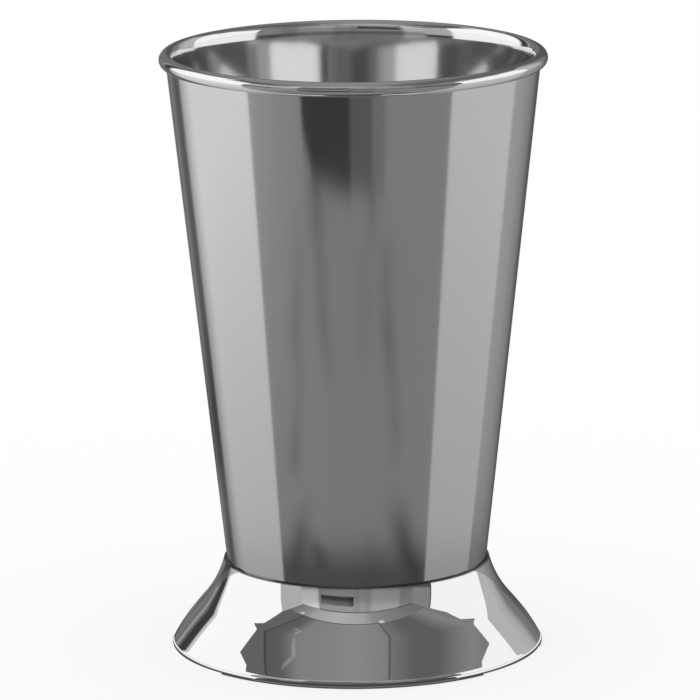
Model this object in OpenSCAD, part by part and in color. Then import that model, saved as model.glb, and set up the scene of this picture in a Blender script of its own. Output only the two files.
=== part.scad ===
// Footed julep cup in sheet steel. A tapered wall is closed by a let-in floor, finished by a
// round bead that caps its top edge, and held in the thin lip of a flared, hollow foot.
// The axis is Z, the table is Z = 0, and all sizes are millimetres.

/* [Overall] */
// Height from the table to the top of the rim
cup_height = 129; // [115:0.2:145]
// Diameter over the rim bead
rim_diameter = 82.4; // [76:0.2:92]

/* [Wall] */
// Outside diameter of the wall at the lip of the foot, as a share of the rim's
base_share = 0.677; // [0.62:0.001:0.74]
// Thickness of the wall sheet
wall_thickness = 1.7; // [1.3:0.05:2]
// How far the wall runs on below the floor
wall_skirt = 4.6; // [3.6:0.1:6]

/* [Rim] */
// Diameter of the round bead
bead_diameter = 3.1; // [2.8:0.1:3.8]
// Gap between the wall and the step cut in the bead
step_clearance = 0.05; // [0.02:0.01:0.1]

/* [Floor] */
// How far the drinking floor lies below the lip of the foot
floor_drop = 3.2; // [1.6:0.1:4]
// Thickness of the floor sheet
floor_thickness = 0.8; // [0.5:0.05:1]
// Outside radius of the bend between the floor and its flange
floor_bend = 1.6; // [1.2:0.1:2]
// How far the flange stops short of the wall's lower edge
flange_setback = 0.3; // [0:0.1:0.6]

/* [Foot] */
// Height of the lip above the table
foot_height = 18.9; // [17.9:0.1:22]
// How far the foot's edge lies inside the rim on each side
foot_inset = 1.4; // [0:0.1:4]
// Thickness of the foot sheet
foot_thickness = 0.6; // [0.4:0.05:0.8]
// Angle of the foot from upright at its lip, as a share of the slope from the lip to the edge
lip_share = 0.432; // [0.36:0.004:0.46]
// Radius of the hollow curve between the lip and the flare
flare_radius = 22.8; // [18:0.2:24]
// Radius of the flare's slight outward bulge
crown_radius = 120; // [80:5:300]
// Radius of the turn from the flare down to the edge
edge_radius = 1.4; // [1:0.1:2.2]
// Height of the upright edge that stands on the table
edge_height = 0.95; // [0.5:0.05:1.2]
// Gap between the lip and the wall
lip_clearance = 0.05; // [0.02:0.01:0.1]

/* [Solder] */
// How far the filler lies below the lip, which leaves a fine open seam
seam_depth = 0.5; // [0.3:0.1:0.8]
// How far down from the lip the filler runs
filler_reach = 2.5; // [2:0.1:3.2]
// How far the filler climbs the wall above the floor
filler_climb = 1; // [0.6:0.1:1.6]
// How hollow the face of the filler is, where 0 is flat
filler_hollow = 0.55; // [0.3:0.05:0.7]

/* [Hidden] */
$fn = 180;
arc_steps = 16;
steel_colour = [0.72, 0.73, 0.74];
polished_colour = [0.82, 0.83, 0.84];
filler_colour = [0.62, 0.61, 0.58];

// The wall's outer face is a cone, and its inner face runs smoothly into the round of the bead.
bead_radius = bead_diameter / 2;
floor_height = foot_height - floor_drop;
wall_edge_height = floor_height - wall_skirt;
bead_middle = [rim_diameter / 2 - bead_radius, cup_height - bead_radius];
wall_rise = bead_middle[1] - foot_height;
wall_base_diameter = base_share * rim_diameter;
wall_offset = wall_thickness - bead_radius;
taper = atan2(bead_middle[0] + wall_offset - wall_base_diameter / 2, wall_rise);
wall_width = wall_thickness / cos(taper);
wall_top = bead_middle[1] + bead_radius * sin(taper);

// The lip's inner corner meets the wall, and the foot curves down and outward from the lip.
foot_diameter = rim_diameter - 2 * foot_inset;
lip_angle = lip_share * atan2((foot_diameter - wall_base_diameter) / 2, foot_height);
lip_out = [cos(lip_angle), sin(lip_angle)];
lip_inner_height = foot_height - foot_thickness * sin(lip_angle);
lip_inner = [wall_outside(lip_inner_height) + lip_clearance, lip_inner_height];
lip = lip_inner + foot_thickness * lip_out;

// The flare is the wide arc that touches the hollow curve and the turn at the edge. The three arcs'
// middles form a triangle, which gives the angles at which they meet.
hollow_middle = lip + flare_radius * lip_out;
edge_middle = [foot_diameter / 2 - edge_radius, edge_height];
span = hollow_middle - edge_middle;
hollow_side = crown_radius + flare_radius;
edge_side = crown_radius - edge_radius;
span_turn = acos((span * span + pow(hollow_side, 2) - pow(edge_side, 2)) / (2 * norm(span) * hollow_side));
flare_angle = atan2(span[1], span[0]) - span_turn;
crown_middle = on_circle(hollow_middle, -hollow_side, flare_angle);
crown_to_edge = edge_middle - crown_middle;
edge_angle = atan2(crown_to_edge[1], crown_to_edge[0]);

// The floor's bend touches the wall's inner face, and its flange lies against that face.
bend_height = floor_height - floor_bend;
bend_touch_height = bend_height - floor_bend * sin(taper);
bend_middle = [wall_inside(bend_touch_height) - floor_bend * cos(taper), bend_height];
flange_edge = wall_edge_height + flange_setback;
floor_filler_from = 80;
floor_filler_to = 15;

function wall_outside(z) =
    bead_middle[0] + wall_offset / cos(taper) + (z - bead_middle[1]) * tan(taper);
function wall_inside(z) = wall_outside(z) - wall_width;
function on_circle(middle, radius, angle) = middle + radius * [cos(angle), sin(angle)];
function arc(middle, radius, from, to) =
    [for (i = [0:arc_steps]) on_circle(middle, radius, from + (to - from) * i / arc_steps)];
function backward(points) = [for (i = [len(points) - 1:-1:0]) points[i]];
function without_ends(points) = [for (i = [1:len(points) - 2]) points[i]];

// A hollow filler face from one point to another, drawn in toward the corner between them
function filler_face(from, corner, to) =
    let (pull = (from + to) / 2 * (1 - filler_hollow) + corner * filler_hollow)
    [for (i = [0:arc_steps])
        let (s = i / arc_steps) (1 - s) * (1 - s) * from + 2 * s * (1 - s) * pull + s * s * to];

// One skin of the foot, a given depth inside its outer face
function foot_skin(depth) = concat(
    arc(hollow_middle, -(flare_radius + depth), lip_angle, flare_angle),
    without_ends(arc(crown_middle, crown_radius - depth, flare_angle, edge_angle)),
    arc(edge_middle, edge_radius - depth, edge_angle, 0),
    [[foot_diameter / 2 - depth, 0]]);

// One skin of the floor, a given depth under its upper face
function floor_skin(depth) =
    let (flange_out = [cos(taper), -sin(taper)])
    concat(
        [[0, floor_height - depth]],
        arc(bend_middle, floor_bend - depth, 90, -taper),
        [[wall_inside(flange_edge), flange_edge] - depth * flange_out]);

// Tapered sleeve of the cup
module cup_wall() {
    color(steel_colour)
        rotate_extrude()
            polygon([
                [wall_outside(wall_edge_height), wall_edge_height],
                [wall_outside(wall_top), wall_top],
                [wall_inside(wall_top), wall_top],
                [wall_inside(wall_edge_height), wall_edge_height]]);
}

// Floor with its flange turned down inside the wall
module cup_floor() {
    color(steel_colour)
        rotate_extrude()
            polygon(concat(floor_skin(0), backward(floor_skin(floor_thickness))));
}

// Round bead with a step cut in its inner side, which fits over the wall's top edge
module rim_bead() {
    step_inside = bead_middle[0] - bead_diameter;
    step_foot = bead_middle[1] - bead_diameter;
    step_top = wall_top + step_clearance;
    color(polished_colour)
        rotate_extrude()
            difference() {
                translate(bead_middle)
                    circle(d = bead_diameter);
                polygon([
                    [step_inside, step_foot],
                    [wall_outside(step_foot) + step_clearance, step_foot],
                    [wall_outside(step_top) + step_clearance, step_top],
                    [step_inside, step_top]]);
            }
}

// Hollow foot, from the lip down to its edge on the table
module flared_foot() {
    color(polished_colour)
        rotate_extrude()
            polygon(concat(foot_skin(0), backward(foot_skin(foot_thickness))));
}

// Filler in the wedge between the wall and the top of the foot
module foot_solder() {
    inner_radius = flare_radius + foot_thickness;
    degrees_per_mm = 180 / PI / inner_radius;
    seam_angle = lip_angle + seam_depth * degrees_per_mm;
    filler_angle = lip_angle + filler_reach * degrees_per_mm;
    foot_side = arc(hollow_middle, -inner_radius, seam_angle, filler_angle);
    foot_end = foot_side[arc_steps];
    wall_start = [wall_outside(foot_side[0][1]), foot_side[0][1]];
    wall_end = [wall_outside(foot_end[1]), foot_end[1]];
    color(filler_colour)
        rotate_extrude()
            polygon(concat([wall_start], foot_side, filler_face(foot_end, lip_inner, wall_end)));
}

// Filler between the bend of the floor and the wall
module floor_solder() {
    bend_side = arc(bend_middle, floor_bend, floor_filler_to, floor_filler_from);
    wall_start_height = bend_side[0][1];
    wall_end_height = floor_height + filler_climb;
    wall_end = [wall_inside(wall_end_height), wall_end_height];
    corner = [wall_inside(floor_height), floor_height];
    color(filler_colour)
        rotate_extrude()
            polygon(concat(
                [[wall_inside(wall_start_height), wall_start_height]],
                bend_side,
                filler_face(bend_side[arc_steps], corner, wall_end)));
}

cup_wall();
cup_floor();
rim_bead();
flared_foot();
foot_solder();
floor_solder();
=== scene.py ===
import math

import bmesh
import bpy
import numpy as np
from mathutils import Matrix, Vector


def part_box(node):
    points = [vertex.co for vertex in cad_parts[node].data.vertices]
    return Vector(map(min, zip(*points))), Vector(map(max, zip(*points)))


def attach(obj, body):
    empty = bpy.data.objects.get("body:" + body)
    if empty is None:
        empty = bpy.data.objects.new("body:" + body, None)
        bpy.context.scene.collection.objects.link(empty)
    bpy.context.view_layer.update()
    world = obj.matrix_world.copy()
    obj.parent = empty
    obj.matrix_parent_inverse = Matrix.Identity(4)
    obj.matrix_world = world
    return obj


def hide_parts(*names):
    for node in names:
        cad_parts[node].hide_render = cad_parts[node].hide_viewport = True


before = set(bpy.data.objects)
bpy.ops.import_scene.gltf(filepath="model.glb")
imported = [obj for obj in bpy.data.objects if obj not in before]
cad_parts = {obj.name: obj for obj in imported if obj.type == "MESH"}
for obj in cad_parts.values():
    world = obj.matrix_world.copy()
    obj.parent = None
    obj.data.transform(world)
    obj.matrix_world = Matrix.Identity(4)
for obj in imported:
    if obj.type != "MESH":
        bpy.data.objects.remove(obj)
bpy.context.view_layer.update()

# Cup wall
# The tapered sleeve of the cup, rolled from stainless sheet with its seam at the back ground flush.
# It was buffed round and round on a lathe, so its bright satin face carries fine level lines.
MM = 0.001
BODY = "root"
wall_low, wall_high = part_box("cup_wall")
bead_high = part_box("rim_bead")[1]
foot_low, foot_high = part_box("flared_foot")
rim_radius = bead_high.x
bead_radius = 1.55 * MM
bead_centre = np.array([rim_radius - bead_radius, bead_high.z - bead_radius])
wall_sheet = 1.7 * MM
wall_base_share = 0.677
base_radius = wall_base_share * rim_radius
wall_offset = wall_sheet - bead_radius
wall_taper = math.atan2(bead_centre[0] + wall_offset - base_radius, bead_centre[1] - foot_high.z)
wall_width = wall_sheet / math.cos(wall_taper)


def wall_outside(height):
    """Radius of the wall's outer face: a straight taper, set so that the inner face touches the bead."""
    above_bead = height - bead_centre[1]
    return bead_centre[0] + wall_offset / math.cos(wall_taper) + above_bead * math.tan(wall_taper)


def wall_inside(height):
    """Radius of the wall's inner face, one sheet thickness in from the outer one."""
    return wall_outside(height) - wall_width


flare_start = wall_high.z - 1.6 * MM
rim_flare = 7.5 * MM


def rim_inside(height):
    """Radius of the inner face near the rim: the taper, eased outward by a parabola under the bead."""
    return wall_inside(height) + np.maximum(height - flare_start, 0) ** 2 / (2 * rim_flare)


def arc(centre, radius, start, stop, steps):
    """Points on a circle about centre, evenly spaced from one angle in degrees to another."""
    angle = np.radians(np.linspace(start, stop, steps + 1))
    return np.asarray(centre) + radius * np.stack([np.cos(angle), np.sin(angle)], -1)


def eased(before, corner, after, radius, steps=5):
    """The arc that eases one corner and touches both of its sides, which run to before and after.
    It starts and ends at radius / tan(half the corner's angle) from the corner."""
    before, corner, after = np.asarray(before), np.asarray(corner), np.asarray(after)
    to_before = (before - corner) / np.linalg.norm(before - corner)
    to_after = (after - corner) / np.linalg.norm(after - corner)
    half = np.arccos(np.clip(to_before @ to_after, -1, 1)) / 2
    middle = (to_before + to_after) / np.linalg.norm(to_before + to_after)
    centre = corner + middle * radius / np.sin(half)
    first = corner + to_before * radius / np.tan(half) - centre
    last = corner + to_after * radius / np.tan(half) - centre
    share = np.linspace(0, 1, steps + 1)[:, None]
    turn = (1 - share) * first + share * last
    return centre + radius * turn / np.linalg.norm(turn, axis=1, keepdims=True)


def filled(outline, spacing):
    """The same outline with its long straight runs divided, so that no step is longer than spacing."""
    pieces = []
    for start, stop in zip(outline, np.roll(outline, -1, 0)):
        count = max(1, math.ceil(np.linalg.norm(stop - start) / spacing))
        share = np.arange(count)[:, None] / count
        pieces.append(start + share * (stop - start))
    return np.concatenate(pieces)


ring_steps = 512
sharp_corner = math.radians(40)


def turned(name, outline, around=ring_steps, sway=None):
    """A ring: a closed outline of (radius, height) points carried once round the upright axis.
    The outline runs up its outer side, so faces look outward. UV u is the share of the turn from the
    back, v the share of the way along the outline. The attribute edge fades from 1 on tight corners.
    sway, if given, is a pair of arrays, the outward and the upward shift of each outline point at each
    step of the turn."""
    count = len(outline)
    turn = np.arange(around) * 2 * np.pi / around
    radius = np.repeat(outline[:, :1], around, 1)
    height = np.repeat(outline[:, 1:], around, 1)
    if sway is not None:
        radius = radius + sway[0]
        height = height + sway[1]
    points = np.stack([-radius * np.sin(turn), radius * np.cos(turn), height], -1).reshape(-1, 3)
    i, j = np.meshgrid(np.arange(count), np.arange(around), indexing="ij")
    next_i, next_j = (i + 1) % count, (j + 1) % around
    row, next_row = i * around, next_i * around
    quads = np.stack([row + j, row + next_j, next_row + next_j, next_row + j], -1)
    step = np.linalg.norm(np.roll(outline, -1, 0) - outline, axis=1)
    along = np.concatenate([[0], np.cumsum(step)]) / step.sum()
    u = np.stack([j, j + 1, j + 1, j], -1) / around
    v = np.stack([along[i], along[i], along[i + 1], along[i + 1]], -1)
    mesh = bpy.data.meshes.new(name)
    mesh.from_pydata(points, [], quads.reshape(-1, 4))
    layer = mesh.uv_layers.new(name="turn")
    layer.data.foreach_set("uv", np.stack([u, v], -1).astype(np.float32).ravel())
    edge = mesh.attributes.new("edge", "FLOAT", "POINT")
    edge.data.foreach_set("value", np.repeat(edge_share(outline, step), around).astype(np.float32))
    mesh.shade_smooth()
    mesh.set_sharp_from_angle(angle=sharp_corner)
    mesh.validate()
    piece = bpy.data.objects.new(name, mesh)
    bpy.context.scene.collection.objects.link(piece)
    return piece


def edge_share(outline, step, tight=0.35 * MM, reach=0.5 * MM):
    """1 where the outline turns on a radius under tight, falling off with the distance from there."""
    side = np.roll(outline, -1, 0) - outline
    bearing = np.arctan2(side[:, 1], side[:, 0])
    bend = np.abs(np.angle(np.exp(1j * (bearing - np.roll(bearing, 1)))))
    corner = bend / np.maximum((step + np.roll(step, 1)) / 2, 1e-9) > 1 / tight
    place = np.concatenate([[0], np.cumsum(step)])[:-1]
    if not corner.any():
        return np.zeros(len(outline))
    gap = np.abs(place[:, None] - place[None, corner])
    gap = np.minimum(gap, step.sum() - gap).min(1)
    return np.exp(-gap / reach)


def effect(name, inputs, outputs):
    """An empty node group with the named sockets, and a short way to add nodes and links to it."""
    group = bpy.data.node_groups.new(name, "ShaderNodeTree")
    for socket, kind, value in inputs:
        made = group.interface.new_socket(socket, in_out="INPUT", socket_type=kind)
        if value is not None:
            made.default_value = value
    for socket, kind in outputs:
        group.interface.new_socket(socket, in_out="OUTPUT", socket_type=kind)
    return group, group.nodes.new("NodeGroupInput"), group.nodes.new("NodeGroupOutput")


def maths(tree, operation, first, second=0.0, third=None):
    """A math node whose inputs are sockets or plain numbers, returned as its output socket."""
    node = tree.nodes.new("ShaderNodeMath")
    node.operation = operation
    for place, value in enumerate((first, second, third)):
        if isinstance(value, bpy.types.NodeSocket):
            tree.links.new(value, node.inputs[place])
        elif value is not None:
            node.inputs[place].default_value = value
    return node.outputs[0]


def noise(tree, vector, scale, detail, roughness=0.5):
    """A noise texture's value over the given coordinates."""
    node = tree.nodes.new("ShaderNodeTexNoise")
    tree.links.new(vector, node.inputs["Vector"])
    node.inputs["Scale"].default_value = scale
    node.inputs["Detail"].default_value = detail
    node.inputs["Roughness"].default_value = roughness
    return node.outputs["Fac"]


def between(tree, value, low, high, to_low=0.0, to_high=1.0):
    """A smooth step from to_low to to_high as value goes from low to high."""
    node = tree.nodes.new("ShaderNodeMapRange")
    node.interpolation_type = "SMOOTHSTEP"
    tree.links.new(value, node.inputs["Value"])
    for socket, number in (("From Min", low), ("From Max", high), ("To Min", to_low), ("To Max", to_high)):
        node.inputs[socket].default_value = number
    return node.outputs["Result"]


# Lines that a wheel or tool leaves as the piece turns: fine noise across the ring, stretched along it.
turning_lines, lines_in, lines_out = effect(
    "turning_lines",
    [("Position", "NodeSocketVector", None), ("Fineness", "NodeSocketFloat", 4000.0),
     ("Drift", "NodeSocketFloat", 30.0)],
    [("Lines", "NodeSocketFloat")])
place = turning_lines.nodes.new("ShaderNodeSeparateXYZ")
turning_lines.links.new(lines_in.outputs["Position"], place.inputs[0])
from_axis = maths(turning_lines, "SQRT", maths(
    turning_lines, "ADD",
    maths(turning_lines, "MULTIPLY", place.outputs[0], place.outputs[0]),
    maths(turning_lines, "MULTIPLY", place.outputs[1], place.outputs[1])))
ring = maths(turning_lines, "SUBTRACT", place.outputs[2], from_axis)
stretched = turning_lines.nodes.new("ShaderNodeCombineXYZ")
for axis in (0, 1):
    turning_lines.links.new(
        maths(turning_lines, "MULTIPLY", place.outputs[axis], lines_in.outputs["Drift"]),
        stretched.inputs[axis])
turning_lines.links.new(
    maths(turning_lines, "MULTIPLY", ring, lines_in.outputs["Fineness"]), stretched.inputs[2])
turning_lines.links.new(
    noise(turning_lines, stretched.outputs[0], 1.0, 3.0, 0.6), lines_out.inputs["Lines"])

# Faint marks of hands and drying water: broad soft patches, broken up by a finer noise.
handling_marks, marks_in, marks_out = effect(
    "handling_marks",
    [("Position", "NodeSocketVector", None)],
    [("Marks", "NodeSocketFloat")])
marks_place = marks_in.outputs["Position"]
broad = between(handling_marks, noise(handling_marks, marks_place, 38.0, 2.0), 0.46, 0.72)
broken = between(handling_marks, noise(handling_marks, marks_place, 420.0, 3.0, 0.65), 0.3, 0.75)
handling_marks.links.new(maths(handling_marks, "MULTIPLY", broad, broken), marks_out.inputs["Marks"])

# Wear on corners: the edge attribute, eaten into by noise so that it comes and goes along the edge.
edge_wear, wear_in, wear_out = effect(
    "edge_wear",
    [("Position", "NodeSocketVector", None), ("Edge", "NodeSocketFloat", 0.0)],
    [("Wear", "NodeSocketFloat")])
patchy = between(edge_wear, noise(edge_wear, wear_in.outputs["Position"], 900.0, 4.0, 0.6), 0.32, 0.68)
edge_wear.links.new(maths(edge_wear, "MULTIPLY", wear_in.outputs["Edge"], patchy), wear_out.inputs["Wear"])


# Painted shade: the dark grey laid where the foot's lip meets the wall, for the dark gap there.
seam_shade_grey = (0.2, 0.2, 0.2, 1)


def steel(name, dark, pale, smooth, rough, fineness, relief, stretch=0.0):
    """Bare metal. Turning lines, handling marks and edge wear move its grey between dark and pale and
    its roughness between smooth and rough, and the lines stand relief metres high. The attribute seam
    lays painted shade: it darkens the metal to a dark grey in a joint, for the gap's shade.
    stretch draws reflections out across the lines, as a buffed face does."""
    material = bpy.data.materials.new(name)
    material.use_nodes = True
    tree = material.node_tree
    shader = tree.nodes["Principled BSDF"]
    where = tree.nodes.new("ShaderNodeTexCoord").outputs["Object"]
    corner = tree.nodes.new("ShaderNodeAttribute")
    corner.attribute_name = "edge"
    seam = tree.nodes.new("ShaderNodeAttribute")
    seam.attribute_name = "seam"
    placed = {}
    for group in (turning_lines, handling_marks, edge_wear):
        placed[group.name] = tree.nodes.new("ShaderNodeGroup")
        placed[group.name].node_tree = group
        tree.links.new(where, placed[group.name].inputs["Position"])
    placed["turning_lines"].inputs["Fineness"].default_value = fineness
    tree.links.new(corner.outputs["Fac"], placed["edge_wear"].inputs["Edge"])
    lines = placed["turning_lines"].outputs["Lines"]
    marks = placed["handling_marks"].outputs["Marks"]
    wear = placed["edge_wear"].outputs["Wear"]
    tone = maths(tree, "MULTIPLY_ADD", marks, -0.35, between(tree, lines, 0.25, 0.75))
    tone = maths(tree, "ADD", tone, wear)
    colour = tree.nodes.new("ShaderNodeValToRGB")
    colour.color_ramp.elements[0].color = (*dark, 1)
    colour.color_ramp.elements[1].color = (*pale, 1)
    tree.links.new(tone, colour.inputs["Fac"])
    # The seam attribute blends the painted shade grey into the metal's colour.
    seam_shaded = tree.nodes.new("ShaderNodeMix")
    seam_shaded.data_type = "RGBA"
    tree.links.new(seam.outputs["Fac"], seam_shaded.inputs["Factor"])
    tree.links.new(colour.outputs["Color"], seam_shaded.inputs[6])
    seam_shaded.inputs[7].default_value = seam_shade_grey
    tree.links.new(seam_shaded.outputs[2], shader.inputs["Base Color"])
    haze = maths(tree, "ADD", maths(tree, "MULTIPLY", lines, 0.5), maths(tree, "MULTIPLY", marks, 0.5))
    haze = maths(tree, "MULTIPLY_ADD", wear, 0.5, haze)
    tree.links.new(between(tree, haze, 0.1, 0.9, smooth, rough), shader.inputs["Roughness"])
    bump = tree.nodes.new("ShaderNodeBump")
    bump.inputs["Distance"].default_value = relief
    tree.links.new(lines, bump.inputs["Height"])
    tree.links.new(bump.outputs["Normal"], shader.inputs["Normal"])
    shader.inputs["Metallic"].default_value = 1.0
    if stretch:
        shader.inputs["Anisotropic"].default_value = stretch
        tangent = tree.nodes.new("ShaderNodeTangent")
        tangent.direction_type = "RADIAL"
        tangent.axis = "Z"
        tree.links.new(tangent.outputs["Tangent"], shader.inputs["Tangent"])
    return material


satin_steel = steel(
    "satin_steel", dark=(0.763, 0.763, 0.763), pale=(0.781, 0.781, 0.781),
    smooth=0.08, rough=0.11, fineness=5200.0, relief=0.00000004, stretch=0.5)
wall_corner = 0.04 * MM
flare_steps = 24
flare_heights = np.linspace(wall_high.z, flare_start, flare_steps + 1)
flare = np.stack([rim_inside(flare_heights), flare_heights], -1)
outer_edge = (wall_outside(wall_low.z), wall_low.z)
outer_top = (wall_outside(wall_high.z), wall_high.z)
inner_edge = (wall_inside(wall_low.z), wall_low.z)
wall_outline = filled(np.concatenate([
    eased(inner_edge, outer_edge, outer_top, wall_corner),
    eased(outer_edge, outer_top, flare[0], wall_corner),
    flare,
    eased(flare[-1], inner_edge, outer_edge, wall_corner)]), spacing=3 * MM)
cup_wall = turned("cup_wall_sheet", wall_outline)
cup_wall.data.materials.append(satin_steel)
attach(cup_wall, BODY)
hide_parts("cup_wall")

# Cup floor
# A disc of the same steel with its rim turned down into a short flange, spun over a wooden former.
# It is pushed down the taper until the flange wedges against the wall, a little above the wall's edge.
floor_low, floor_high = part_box("cup_floor")
floor_sheet = 0.8 * MM
floor_bend = 1.6 * MM
flange_out = np.array([math.cos(wall_taper), -math.sin(wall_taper)])
bend_height = floor_high.z - floor_bend
bend_touch = bend_height - floor_bend * math.sin(wall_taper)
bend_centre = np.array([wall_inside(bend_touch) - floor_bend * math.cos(wall_taper), bend_height])
flange_foot = np.array([wall_inside(floor_low.z), floor_low.z])
flange_under = flange_foot - floor_sheet * flange_out
floor_angle = math.degrees(wall_taper)
under_steps = 12
upper_steps = 16
floor_around = 384
floor_outline = filled(np.concatenate([
    [(0, floor_high.z - floor_sheet)],
    arc(bend_centre, floor_bend - floor_sheet, 90, -floor_angle, under_steps),
    [flange_under, flange_foot],
    arc(bend_centre, floor_bend, -floor_angle, 90, upper_steps),
    [(0, floor_high.z)]]), spacing=1.5 * MM)


def shut_poles(mesh, within=0.0001 * MM):
    """Joins the points of a turned disc that fall together on its axis, and drops the edge left there."""
    disc = bmesh.new()
    disc.from_mesh(mesh)
    bmesh.ops.remove_doubles(disc, verts=disc.verts, dist=within)
    loose = [edge for edge in disc.edges if not edge.link_faces]
    bmesh.ops.delete(disc, geom=loose, context="EDGES")
    disc.to_mesh(mesh)
    disc.free()


spun_steel = steel(
    "spun_steel", dark=(0.68, 0.68, 0.68), pale=(0.78, 0.78, 0.78),
    smooth=0.12, rough=0.26, fineness=2600.0, relief=0.0000015, stretch=0.5)
cup_floor = turned("cup_floor_disc", floor_outline, floor_around)
shut_poles(cup_floor.data)
cup_floor.data.materials.append(spun_steel)
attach(cup_floor, BODY)
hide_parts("cup_floor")

# Floor solder
# Silver-coloured filler run into the corner between floor and wall, which makes the cup tight.
# It is wiped smooth while hot, so its face is hollow and wanders a little round the ring.
solder_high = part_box("floor_solder")[1]
solder_steps = 16
solder_hollow = 0.55
solder_around = 384
solder_from, solder_to = 15, 80


def hollow_face(start, corner, stop):
    """A curve from start to stop drawn in toward corner: a quadratic Bezier whose middle handle lies
    between the chord and the corner."""
    share = np.linspace(0, 1, solder_steps + 1)[:, None]
    handle = (start + stop) / 2 * (1 - solder_hollow) + corner * solder_hollow
    return (1 - share) ** 2 * start + 2 * share * (1 - share) * handle + share ** 2 * stop


def wander(count, face, inward, size, seed):
    """Shifts of a filler's free face: a sum of a few waves round the ring, fading to nothing where the
    face meets the metal, along the direction inward."""
    turn = np.arange(solder_around) * 2 * np.pi / solder_around
    random = np.random.default_rng(seed)
    waves = np.arange(3, 23, 4)
    shape = sum(np.sin(n * turn + random.uniform(0, 6.28)) / math.sqrt(n) for n in waves)
    fade = np.zeros(count)
    fade[face] = np.sin(np.linspace(0, np.pi, solder_steps + 1))
    shift = size * fade[:, None] * shape[None, :] / np.abs(shape).max()
    return shift * inward[0], shift * inward[1]


filler_metal = steel(
    "filler_metal", dark=(0.5, 0.48, 0.44), pale=(0.72, 0.7, 0.66),
    smooth=0.24, rough=0.46, fineness=900.0, relief=0.000004)
bend_side = arc(bend_centre, floor_bend, solder_from, solder_to, solder_steps)
climb_end = np.array([wall_inside(solder_high.z), solder_high.z])
floor_corner = np.array([wall_inside(floor_high.z), floor_high.z])
solder_outline = np.concatenate([
    [(wall_inside(bend_side[0][1]), bend_side[0][1])],
    hollow_face(climb_end, floor_corner, bend_side[-1]),
    bend_side[-2::-1]])
free_face = slice(1, solder_steps + 2)
floor_solder = turned(
    "floor_solder_ring", solder_outline, solder_around,
    wander(len(solder_outline), free_face, inward=(0.7, -0.7), size=0.05 * MM, seed=3))
floor_solder.data.materials.append(filler_metal)
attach(floor_solder, BODY)
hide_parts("floor_solder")

# Rim bead
# A ring of round drawn steel with a step turned in its inner side, set down over the wall's top edge.
# The step holds a film of filler, and the bead is mirror-polished flush with the wall's inner face.
step_gap = 0.05 * MM
bead_steps = 64
step_top = wall_high.z + step_gap


def step_side(height):
    """Radius of the upright side of the step, a film's thickness off the wall's outer face."""
    return wall_outside(height) + step_gap


def step_angle():
    """Angle in degrees, about the bead's middle, where the step's upright side meets the round face.
    The side leans with the wall, so the meeting point is found by a few fixed-point steps."""
    drop = bead_radius
    for _ in range(12):
        offset = step_side(bead_centre[1] - drop) - bead_centre[0]
        drop = math.sqrt(bead_radius ** 2 - offset ** 2)
    return math.degrees(math.atan2(-drop, offset))


def shoulder(start, start_pull, stop_pull, stop, steps):
    """A cubic Bezier curve from start to stop with its two handles."""
    share = np.linspace(0, 1, steps + 1)[:, None]
    return ((1 - share) ** 3 * start + 3 * share * (1 - share) ** 2 * start_pull
            + 3 * share ** 2 * (1 - share) * stop_pull + share ** 3 * stop)


shoulder_angle = 100
shoulder_steps = 40
top_pull = 0.6 * MM
foot_pull = 0.55 * MM
joint_gap = 0.006 * MM
flare_lean = math.atan(math.tan(wall_taper) + (wall_high.z - flare_start) / rim_flare)
bead_round = arc(bead_centre, bead_radius, step_angle(), shoulder_angle, bead_steps)
bead_top = bead_round[-1]
joint_height = wall_high.z + joint_gap
bead_foot = np.array([rim_inside(joint_height), joint_height])
over = np.radians(shoulder_angle)
bead_shoulder = shoulder(
    bead_top, bead_top + top_pull * np.array([-math.sin(over), math.cos(over)]),
    bead_foot + foot_pull * np.array([math.sin(flare_lean), math.cos(flare_lean)]), bead_foot,
    shoulder_steps)
bead_outline = filled(np.concatenate([
    bead_round, bead_shoulder[1:], [(step_side(step_top), step_top)]]), spacing=0.5 * MM)
polished_steel = steel(
    "polished_steel", dark=(0.82, 0.82, 0.82), pale=(0.845, 0.845, 0.845),
    smooth=0.02, rough=0.05, fineness=7000.0, relief=0.00000004)
rim_bead = turned("rim_bead_ring", bead_outline)
rim_bead.data.materials.append(polished_steel)
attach(rim_bead, BODY)
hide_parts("rim_bead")

# Flared foot
# One piece of sheet spun to a hollow flare with a slight crown, mirror-polished outside. Its thin lip
# grips the wall, and its edge is turned upright to stand on the table.
foot_sheet = 0.6 * MM
foot_radius = foot_high.x
lip_share = 0.432
flare_radius = 22.8 * MM
crown_radius = 120 * MM
edge_radius = 1.4 * MM
edge_height = 0.95 * MM
lip_gap = 0.05 * MM
lip_angle = lip_share * math.atan2(foot_radius - base_radius, foot_high.z)
lip_out = np.array([math.cos(lip_angle), math.sin(lip_angle)])
lip_down = np.array([math.sin(lip_angle), -math.cos(lip_angle)])
lip_inner_height = foot_high.z - foot_sheet * math.sin(lip_angle)
lip_inner = np.array([wall_outside(lip_inner_height) + lip_gap, lip_inner_height])
lip = lip_inner + foot_sheet * lip_out
hollow_centre = lip + flare_radius * lip_out
edge_centre = np.array([foot_radius - edge_radius, edge_height])
span = hollow_centre - edge_centre
hollow_side = crown_radius + flare_radius
edge_side = crown_radius - edge_radius
span_turn = math.acos(
    (span @ span + hollow_side ** 2 - edge_side ** 2) / (2 * np.linalg.norm(span) * hollow_side))
flare_angle = math.atan2(span[1], span[0]) - span_turn
crown_centre = hollow_centre - hollow_side * np.array([math.cos(flare_angle), math.sin(flare_angle)])
edge_angle = math.atan2(*(edge_centre - crown_centre)[::-1])
lip_corner = 0.05 * MM
stand_corner = 0.22 * MM
outer_steps = (56, 24, 28)
inner_steps = (20, 18, 10)


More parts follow.
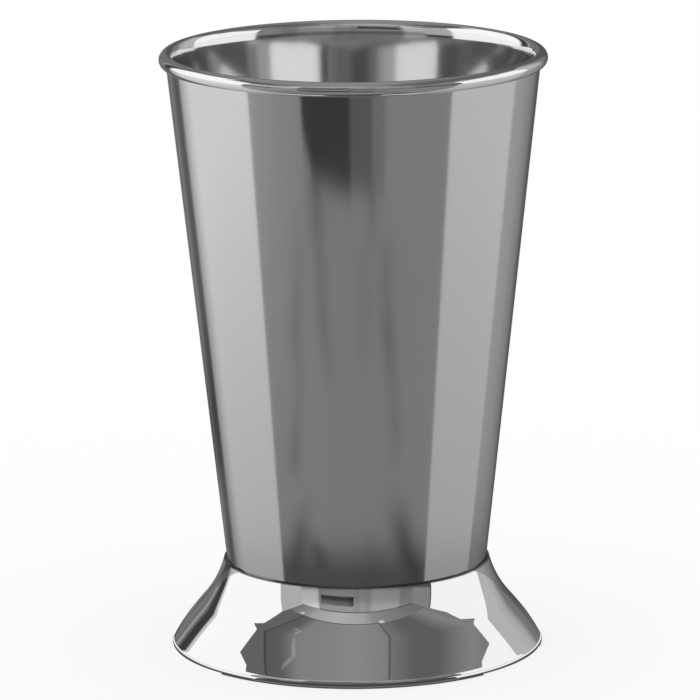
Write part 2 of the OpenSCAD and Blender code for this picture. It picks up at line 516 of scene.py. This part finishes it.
def foot_skin(depth, steps):
    """The curve of the foot from under the lip to above its standing edge, depth inside the outer face:
    a hollow arc, a wide crowned arc that touches it, and a small arc that turns the flare upright.
    steps says how finely each of the three is divided."""
    under_lip = math.degrees(lip_angle + 2 * lip_corner / flare_radius)
    to_flare, to_edge = math.degrees(flare_angle), math.degrees(edge_angle)
    return np.concatenate([
        arc(hollow_centre, -(flare_radius + depth), under_lip, to_flare, steps[0]),
        arc(crown_centre, crown_radius - depth, to_flare, to_edge, steps[1])[1:],
        arc(edge_centre, edge_radius - depth, to_edge, 0, steps[2])[1:]])


outer_stand = np.array([foot_radius, foot_low.z])
inner_stand = np.array([foot_radius - foot_sheet, foot_low.z])
upright = np.array([0, edge_height])
foot_outline = filled(np.concatenate([
    eased(inner_stand, outer_stand, outer_stand + upright, stand_corner),
    foot_skin(0, outer_steps)[::-1],
    eased(lip + lip_down, lip, lip_inner, lip_corner),
    eased(lip, lip_inner, lip_inner + lip_down, lip_corner),
    foot_skin(foot_sheet, inner_steps),
    eased(inner_stand + upright, inner_stand, outer_stand, stand_corner)]), spacing=0.6 * MM)
flared_foot = turned("flared_foot_skirt", foot_outline)
# The seam attribute marks painted shade on the lip's top edge, where the foot meets the wall.
seam_reach = 0.38 * MM
seam_fade = 0.07 * MM
from_lip = np.linalg.norm(foot_outline - (lip + lip_inner) / 2, axis=1)
seam_share = np.clip((seam_reach - from_lip) / seam_fade, 0, 1)
seam = flared_foot.data.attributes.new("seam", "FLOAT", "POINT")
seam.data.foreach_set("value", np.repeat(seam_share, ring_steps).astype(np.float32))
flared_foot.data.materials.append(polished_steel)
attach(flared_foot, BODY)
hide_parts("flared_foot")

# Foot solder
# A ring of filler in the narrow wedge between the top of the foot and the wall, run in from below.
# It stops short of the lip, which leaves the fine dark seam seen from outside.
seam_low, seam_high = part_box("foot_solder")
wedge_radius = flare_radius + foot_sheet


def wedge_angle(height):
    """Angle in degrees, about the middle of the hollow, at which the foot's inner skin has a height."""
    return math.degrees(math.asin((hollow_centre[1] - height) / wedge_radius))


foot_side = arc(
    hollow_centre, -wedge_radius, wedge_angle(seam_low.z), wedge_angle(seam_high.z), solder_steps)
wall_foot = np.array([wall_outside(seam_low.z), seam_low.z])
wedge_outline = np.concatenate([
    [(wall_outside(seam_high.z), seam_high.z)],
    hollow_face(wall_foot, lip_inner, foot_side[0]),
    foot_side[1:]])
foot_solder = turned(
    "foot_solder_ring", wedge_outline, solder_around,
    wander(len(wedge_outline), free_face, inward=(0.0, 1.0), size=0.08 * MM, seed=8))
foot_solder.data.materials.append(filler_metal)
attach(foot_solder, BODY)
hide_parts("foot_solder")

# Table
# A plain white sheet under the cup. It is a stage piece, kept out of the mirror faces, which show the
# studio cards instead.
table_reach = 4.0
plain_share = 0.65
table_mesh = bpy.data.meshes.new("table")
table_mesh.from_pydata(
    [(-table_reach, -table_reach, 0), (table_reach, -table_reach, 0),
     (table_reach, table_reach, 0), (-table_reach, table_reach, 0)], [], [(0, 1, 2, 3)])
table = bpy.data.objects.new("table", table_mesh)
bpy.context.scene.collection.objects.link(table)
table.visible_glossy = False
white_sheet = bpy.data.materials.new("white_sheet")
white_sheet.use_nodes = True
sheet_shader = white_sheet.node_tree.nodes["Principled BSDF"]
sheet_shader.inputs["Base Color"].default_value = (1, 1, 1, 1)
sheet_shader.inputs["Roughness"].default_value = 1.0
sheet_shader.inputs["Specular IOR Level"].default_value = 0.0
sheet_tree = white_sheet.node_tree
ray = sheet_tree.nodes.new("ShaderNodeLightPath").outputs
seen = maths(sheet_tree, "MAXIMUM", ray["Is Camera Ray"], ray["Is Glossy Ray"])
seen = maths(sheet_tree, "MAXIMUM", seen, ray["Is Transmission Ray"])
plain_white = sheet_tree.nodes.new("ShaderNodeEmission")
shadow_softener = sheet_tree.nodes.new("ShaderNodeMixShader")
sheet_tree.links.new(maths(sheet_tree, "MULTIPLY", seen, plain_share), shadow_softener.inputs[0])
sheet_tree.links.new(sheet_shader.outputs[0], shadow_softener.inputs[1])
sheet_tree.links.new(plain_white.outputs[0], shadow_softener.inputs[2])
sheet_tree.links.new(shadow_softener.outputs[0], sheet_tree.nodes["Material Output"].inputs["Surface"])
table_mesh.materials.append(white_sheet)

# Studio cards
# Grey and white sheets as in a light tent, seen only as reflections in the metal: cloth on the table,
# walls and a roof. Plan places are shares of the tent's height, to the right and to the front of the cup.
card_count = 65
across, rise = np.meshgrid(np.linspace(0, 1, card_count), np.linspace(0, 1, card_count), indexing="ij")
tent_height = 16.0
left_white = 1.12
right_white = 1.06
cloth_near = 0.012
cloth_far = 32.0


def lying_sheet(bearings, starts, near=cloth_near, far=cloth_far):
    """A sector of cloth on the table, in metres. Its sides leave two places in front of the axis at two
    bearings from the front in degrees, and its steps outward grow by a constant factor."""
    bearing = np.radians(bearings[0] + (bearings[1] - bearings[0]) * across)
    start = starts[0] + (starts[1] - starts[0]) * across
    reach = near * (far / near) ** rise
    return np.stack([reach * np.sin(bearing), -start - reach * np.cos(bearing), 0 * reach], -1)


def standing_sheet(first, second, low=-0.03, high=1.0):
    """An upright sheet between two plan places, from one share of the tent's height to another."""
    side = first[0] + (second[0] - first[0]) * across
    front = first[1] + (second[1] - first[1]) * across
    return tent_height * np.stack([side, -front, low + (high - low) * rise], -1)


def roof_sheet(sides, fronts, height=1.0):
    """A level sheet over the cup, between two plan places each way."""
    side = sides[0] + (sides[1] - sides[0]) * across
    front = fronts[0] + (fronts[1] - fronts[0]) * rise
    return tent_height * np.stack([side, -front, height + 0 * rise], -1)


def distance(points):
    """Distance of a sheet's points from the cup's axis."""
    return np.hypot(points[..., 0], points[..., 1])


def climb(points):
    """Height of a sheet's points over their distance from the cup's axis."""
    return points[..., 2] / distance(points)


def card(name, points, glow):
    """A stage sheet through a grid of points, which glows by an amount given for each of them."""
    i, j = np.meshgrid(np.arange(card_count - 1), np.arange(card_count - 1), indexing="ij")
    first = i * card_count + j
    quads = np.stack([first, first + 1, first + card_count + 1, first + card_count], -1).reshape(-1, 4)
    mesh = bpy.data.meshes.new(name)
    mesh.from_pydata(points.reshape(-1, 3), [], quads)
    level = mesh.attributes.new("glow", "FLOAT", "POINT")
    level.data.foreach_set("value", np.broadcast_to(glow, rise.shape).astype(np.float32).ravel())
    made = bpy.data.objects.new(name, mesh)
    bpy.context.scene.collection.objects.link(made)
    made.visible_camera = made.visible_diffuse = made.visible_shadow = False
    material = bpy.data.materials.new(name)
    material.use_nodes = True
    tree = material.node_tree
    tree.nodes.clear()
    reader = tree.nodes.new("ShaderNodeAttribute")
    reader.attribute_name = "glow"
    lamp = tree.nodes.new("ShaderNodeEmission")
    tree.links.new(reader.outputs["Fac"], lamp.inputs["Strength"])
    tree.links.new(lamp.outputs[0], tree.nodes.new("ShaderNodeOutputMaterial").inputs["Surface"])
    mesh.materials.append(material)


# The cloth on the table: pale to the sides, grey in front with soft folds of painted shade, and darker near
# the foot with a painted shadow of the cup.
cloth_start = 0.016
left_seam, right_seam = -68.7, 63.4
left_back_seam, left_back_start = -138, 0.036
right_back_seam, right_back_start = 120.1, 0.029
left_cloth = lying_sheet((left_back_seam, left_seam), (left_back_start, cloth_start))
card("left_cloth", left_cloth, np.interp(
    distance(left_cloth), [0.043, 0.056, 0.073, 0.0886, 0.11, 0.234, 0.365],
    [left_white, 0.4, 0.43, 0.5, 0.536, 0.645, 0.767])
    * np.interp(across, [0, 0.02, 0.046, 0.094, 0.144, 0.23], [0.31, 0.45, 0.6, 0.7, 0.84, 1]))
right_cloth = lying_sheet((right_seam, right_back_seam), (cloth_start, right_back_start))
card("right_cloth", right_cloth, np.interp(
    distance(right_cloth), [0.043, 0.056, 0.073, 0.0886, 0.109, 0.229, 0.362],
    [right_white, 0.33, 0.36, 0.43, 0.457, 0.515, 0.578]))
left_back_cloth = lying_sheet((-180, left_back_seam), (left_back_start, left_back_start))
card("left_back_cloth", left_back_cloth, np.interp(
    distance(left_back_cloth), [0.09, 0.12, 0.157, 0.2, 0.25, 0.3], [0.9, 1.1, 0.6, 0.55, 0.8, 1])
    * np.interp(across, [0, 0.19, 0.29, 0.5, 0.61, 0.75, 0.85, 0.95, 1],
                [0.8, 0.6, 0.16, 0.17, 0.225, 0.145, 0.108, 0.108, 0.15]))
right_back_cloth = lying_sheet((right_back_seam, 180), (right_back_start, right_back_start))
card("right_back_cloth", right_back_cloth, np.interp(
    distance(right_back_cloth), [0.077, 0.088, 0.1, 0.115, 0.15, 0.3], [0.52, 0.66, 0.74, 0.8, 0.9, 1])
    * np.interp(across, [0, 0.2, 0.33, 0.44, 0.53, 0.62, 1], [0.385, 0.345, 0.29, 0.245, 0.19, 0.11, 0.09]))

# Painted shade of the front cloth's folds: a width in degrees, then places as (reach in metres, bearing in
# degrees, depth).
cloth_fold_shade = (
    (4.5, [(0.148, -20, 0), (0.165, -20, 0.14), (0.19, -23.5, 0.22), (0.24, -24.7, 0.2),
           (0.27, -25.2, 0.35), (0.31, -25, 0)]),
    (5, [(0.106, -51, 0), (0.12, -51, 0.24), (0.145, -47, 0.12), (0.16, -42, 0.09),
         (0.19, -45, 0.2), (0.23, -39, 0.12), (0.27, -38, 0)]),
    (4, [(0.225, 11, 0), (0.24, 11.5, 0.15), (0.26, 12, 0.22), (0.29, 12, 0)]),
    (5.5, [(0.105, 31, 0), (0.128, 32, 0.17), (0.155, 28, 0.17), (0.182, 24, 0.32),
           (0.2, 23, 0.2), (0.226, 22, 0.2), (0.245, 22, 0)]),
    (6, [(0.15, 6, 0), (0.17, 6, 0.08), (0.2, 7.5, 0.12), (0.225, 6, 0.08), (0.24, 6, 0)]),
    (9, [(0.058, -56, 0), (0.066, -55, 0.34), (0.073, -52.5, 0.45), (0.08, -50, 0.4),
         (0.086, -49, 0.25), (0.1, -45, 0)]),
    (7, [(0.057, -30, 0), (0.064, -32, 0.4), (0.07, -36, 0.4), (0.076, -41, 0.15), (0.082, -43, 0)]),
    (10, [(0.058, 16, 0.06), (0.065, 16, 0.13), (0.07, 15, 0.1), (0.078, 12, 0)]),
    (11, [(0.058, 56, 0.25), (0.065, 48, 0.5), (0.0745, 42, 0.56), (0.085, 38.5, 0.38),
          (0.092, 38, 0.18), (0.1, 36, 0.06), (0.106, 33, 0)]))


def fold_shaded(cloth):
    """What painted shade along soft folds leaves of the cloth's glow. A fold has a width in degrees and
    runs through a few places, each with its reach, bearing and depth. Across the fold the depth is a bell
    curve."""
    reach = np.hypot(cloth[..., 0], cloth[..., 1] + cloth_start)
    bearing = np.degrees(np.arctan2(cloth[..., 0], -cloth[..., 1] - cloth_start))
    left_over = np.ones(reach.shape)
    for width, places in cloth_fold_shade:
        reaches, bearings, depths = np.transpose(places)
        aside = (bearing - np.interp(reach, reaches, bearings)) / width
        left_over = left_over * (1 - np.interp(reach, reaches, depths) * np.exp(-aside ** 2))
    return left_over


for name, near, far in (
        ("front_cloth_near", cloth_near, 0.07),
        ("front_cloth_middle", 0.07, 0.4),
        ("front_cloth_far", 0.4, cloth_far)):
    front_cloth = lying_sheet((left_seam, right_seam), (cloth_start, cloth_start), near, far)
    away = distance(front_cloth)
    glow = np.interp(across, [0, 0.18, 0.37, 0.6, 1], [0.328, 0.272, 0.232, 0.23, 0.235])
    # Painted shade of the folds darkens the glow in soft bands.
    glow = glow * fold_shaded(front_cloth)
    # Painted shadow of the cup on the table: the glow falls to a third within about 0.07 m of the axis.
    glow = glow * np.interp(away, [0.066, 0.073, 0.08, 0.0886, 0.1, 0.36], [0.33, 0.37, 0.6, 0.9, 1, 1.04])
    glow = glow * (1 - 0.26 * np.clip((0.33 - away) / 0.2, 0, 1) * np.clip(1 - across / 0.35, 0, 1))
    card(name, front_cloth, glow)

# Three flags lie on the front cloth and darken it from their near ends outward.
flag_near, flag_far = 0.24, 0.6
flag_lift = (0, 0, 0.0005)
flag_grey = 0.235
flag_fade = 0.016
flag_reach = flag_near * (flag_far / flag_near) ** rise
level_end = 0.257
slanted_end = np.interp(across, [0, 0.2, 0.6, 1], [0.302, 0.272, 0.26, 0.254])
for name, bearings, end, drop in (
        ("dark_flag", (-33, -2.3), slanted_end, 0.19),
        ("grey_flag", (-2.3, 11.6), level_end, 0.125),
        ("pale_flag", (11.6, 20), level_end, 0.06)):
    flag = lying_sheet(bearings, (cloth_start, cloth_start), flag_near, flag_far) + flag_lift
    beyond = np.clip((flag_reach - end) / flag_fade, 0, 1)
    # The flags carry the folds' painted shade too.
    card(name, flag, fold_shaded(flag) * (flag_grey - drop * beyond))

# A narrow ring of shade lies round the foot.
skirt_near, skirt_far = 0.0399, 0.05
skirt_lift = (0, 0, 0.0003)
skirt_left, skirt_right = -34, 33
shade_end, shade_grey = 0.0409, 0.1
front_skirt = lying_sheet((skirt_left, skirt_right), (0, 0), skirt_near, skirt_far) + skirt_lift
card("front_skirt", front_skirt, np.interp(
    distance(front_skirt), [skirt_near, 0.0403, 0.041, 0.0421], [0.25, 0.16, 0.07, 0.07]))
for name, bearings, level in (
        ("left_skirt", (-180, skirt_left), np.interp(across, [0.22, 0.24], [0.3, left_white])),
        ("right_skirt", (skirt_right, 180), np.interp(across, [0.6, 0.64], [right_white, 0.5]))):
    skirt = lying_sheet(bearings, (0, 0), skirt_near, skirt_far) + skirt_lift
    card(name, skirt, np.where(distance(skirt) < shade_end, shade_grey, level))

# The walls: white panels to the left and right, a darker opening in front, and the dim room behind.
left_places = [(-1.0, -1.07), (-0.8, -0.13), (-1.27, -0.28), (-1.16, 0.01), (-1.4, 0.55)]
right_places = [(1.48, 0.64), (1.5, 0.18), (1.34, -0.2), (1.49, -0.65), (1.24, -0.5), (1.36, -0.917)]
front_left, front_right, back_corner = (-1.37, 1.2), (1.4, 1.22), (0, -1.9)
left_levels = [np.where(across < 0.14, 0.64, left_white), left_white, left_white, left_white]
left_names = ["left_panel_back", "left_panel_step", "left_panel", "left_panel_front"]
for name, first, second, level in zip(left_names, left_places, left_places[1:], left_levels):
    card(name, standing_sheet(first, second), level)
right_names = [
    "right_panel_front", "right_panel", "right_panel_back", "right_panel_step", "right_panel_end"]
for name, first, second in zip(right_names, right_places, right_places[1:]):
    card(name, standing_sheet(first, second), right_white)
left_return = standing_sheet(left_places[-1], front_left)
card("left_return", left_return, np.interp(climb(left_return), [0.15, 0.18], [0.06, 0.48]))
right_return = standing_sheet(front_right, right_places[0])
card("right_return", right_return,
     np.interp(climb(right_return), [0.222, 0.245], [0.09, 0.25]) * np.where(across > 0.94, 0.25, 1))
opening = np.interp(
    across, [0, 0.2, 0.21, 0.24, 0.47, 0.5, 0.52, 0.58, 0.6, 0.82, 0.84, 1],
    [0.64, 0.66, 0.24, 0.3, 0.3, 0.25, 0.32, 0.26, 0.36, 0.34, 0.24, 0.26])
front_wall = standing_sheet(front_left, front_right)
card("front_wall", front_wall, opening * np.interp(rise, [0.95, 0.97], [1, 0.4]) * np.interp(
    climb(front_wall), [0.06, 0.0875, 0.2, 0.236, 0.267, 0.305, 0.42, 0.5, 0.62],
    [0.7, 0.42, 0.42, 0.45, 0.66, 0.78, 0.8, 0.88, 1.15]))
card("dark_bar", standing_sheet((-0.72, 1.18), (-0.06, 1.18), 0.48, 0.75), np.interp(
    rise, [0, 0.12, 0.235, 0.35, 0.47, 0.6, 0.8, 1], [0.085, 0.06, 0.042, 0.055, 0.09, 0.12, 0.15, 0.18])
    * (1 - 0.4 * np.clip((across - 0.8) / 0.15, 0, 1)))
card("right_back_wall", standing_sheet(right_places[-1], back_corner), np.interp(
    across, [0, 0.2, 0.34, 0.44, 0.58, 0.63, 1], [0.52, 0.52, 0.43, 0.21, 0.18, 0.1, 0.1]))
card("left_back_wall", standing_sheet(back_corner, left_places[0]), np.interp(
    across, [0, 0.3, 0.45, 0.55, 0.68, 0.74, 0.8, 0.86, 0.97, 1],
    [0.12, 0.2, 0.14, 0.22, 0.16, 0.38, 0.16, 0.05, 0.05, 0.3]))

# The roof: a paler sheet in a thin dark frame, a bright strip in front of it, a fold and two small lamps.
roof_half = 1.6
roof_front = 0.78
frame_height, fold_height, lamp_height = 0.99, 0.988, 0.98
lamp_level = 0.65
roof_side = roof_half * (2 * across - 1)
roof_places = [-0.95, -0.9, -0.75, -0.58, 0, 0.28, 0.35, 0.55, 0.8, 0.95, 1.2, 1.4]
roof_glows = [0.14, 0.115, 0.13, 0.25, 0.29, 0.25, 0.19, 0.13, 0.125, 0.18, 0.26, 0.22]
card("roof", roof_sheet((-roof_half, roof_half), (-2.2, roof_front)),
     np.interp(roof_side, roof_places, roof_glows))
card("front_roof", roof_sheet((-roof_half, roof_half), (roof_front, 1.22)), np.interp(
    roof_side, [-1.37, -0.95, -0.75, -0.3, 0.1, 0.25, 0.5, 1, 1.4],
    [0.19, 0.3, 0.42, 0.5, 0.42, 0.3, 0.25, 0.2, 0.17]))
for name, sides, fronts, level in (
        ("frame_front", (-0.935, 0.32), (0.765, 0.79), 0.11),
        ("frame_left", (-0.935, -0.91), (-1, roof_front), 0.07),
        ("frame_right", (0.295, 0.32), (-1, roof_front), 0.13)):
    card(name, roof_sheet(sides, fronts, frame_height), level)
for name, sides, fronts, height, over, along in (
        ("pale_fold", (-0.76, -0.63), (0.33, 0.375), frame_height, rise, across),
        ("pale_fold_side", (-0.64, -0.59), (0.235, 0.365), fold_height, across, rise)):
    crest = 0.12 * np.sin(np.pi * over) * np.clip(along / 0.3, 0, 1)
    fold_side = sides[0] + (sides[1] - sides[0]) * across
    card(name, roof_sheet(sides, fronts, height), np.interp(fold_side, roof_places, roof_glows) + crest)
for name, sides, fronts in (
        ("left_lamp", (-1.03, -0.95), (0.8, 0.88)),
        ("right_lamp", (0.31, 0.39), (0.76, 0.84))):
    card(name, roof_sheet(sides, fronts, lamp_height), lamp_level)

# Light
# A plain white surround at strength 1, which lights the table evenly and is the white background.
world = bpy.data.worlds.new("white_surround")
bpy.context.scene.world = world
world.use_nodes = True
surround = world.node_tree.nodes["Background"]
surround.inputs["Color"].default_value = (1, 1, 1, 1)
surround.inputs["Strength"].default_value = 1.0

# Camera
# A long lens a little over a metre off, above the rim's height and looking down at the cup.
camera_place = (0.0, -1.2866, 0.3458)
pitch, yaw, roll = math.radians(12.35), math.radians(-0.05), math.radians(-0.412)
focal_pixels = 6163.5
photo_width = 700
mirror_bounces = 32
ahead = np.array([math.sin(yaw) * math.cos(pitch), math.cos(yaw) * math.cos(pitch), -math.sin(pitch)])
right = np.array([math.cos(yaw), -math.sin(yaw), 0])
up = np.cross(right, ahead)
right, up = (math.cos(roll) * right + math.sin(roll) * up, -math.sin(roll) * right + math.cos(roll) * up)
lens = bpy.data.cameras.new("camera")
lens.sensor_width = 36
lens.lens = focal_pixels / photo_width * lens.sensor_width
camera = bpy.data.objects.new("camera", lens)
bpy.context.scene.collection.objects.link(camera)
pose = np.eye(4)
pose[:3, 0], pose[:3, 1], pose[:3, 2], pose[:3, 3] = right, up, -ahead, camera_place
camera.matrix_world = Matrix(pose.tolist())
bpy.context.scene.camera = camera
bpy.context.scene.view_settings.view_transform = "Standard"
bpy.context.scene.cycles.max_bounces = mirror_bounces
bpy.context.scene.cycles.glossy_bounces = mirror_bounces
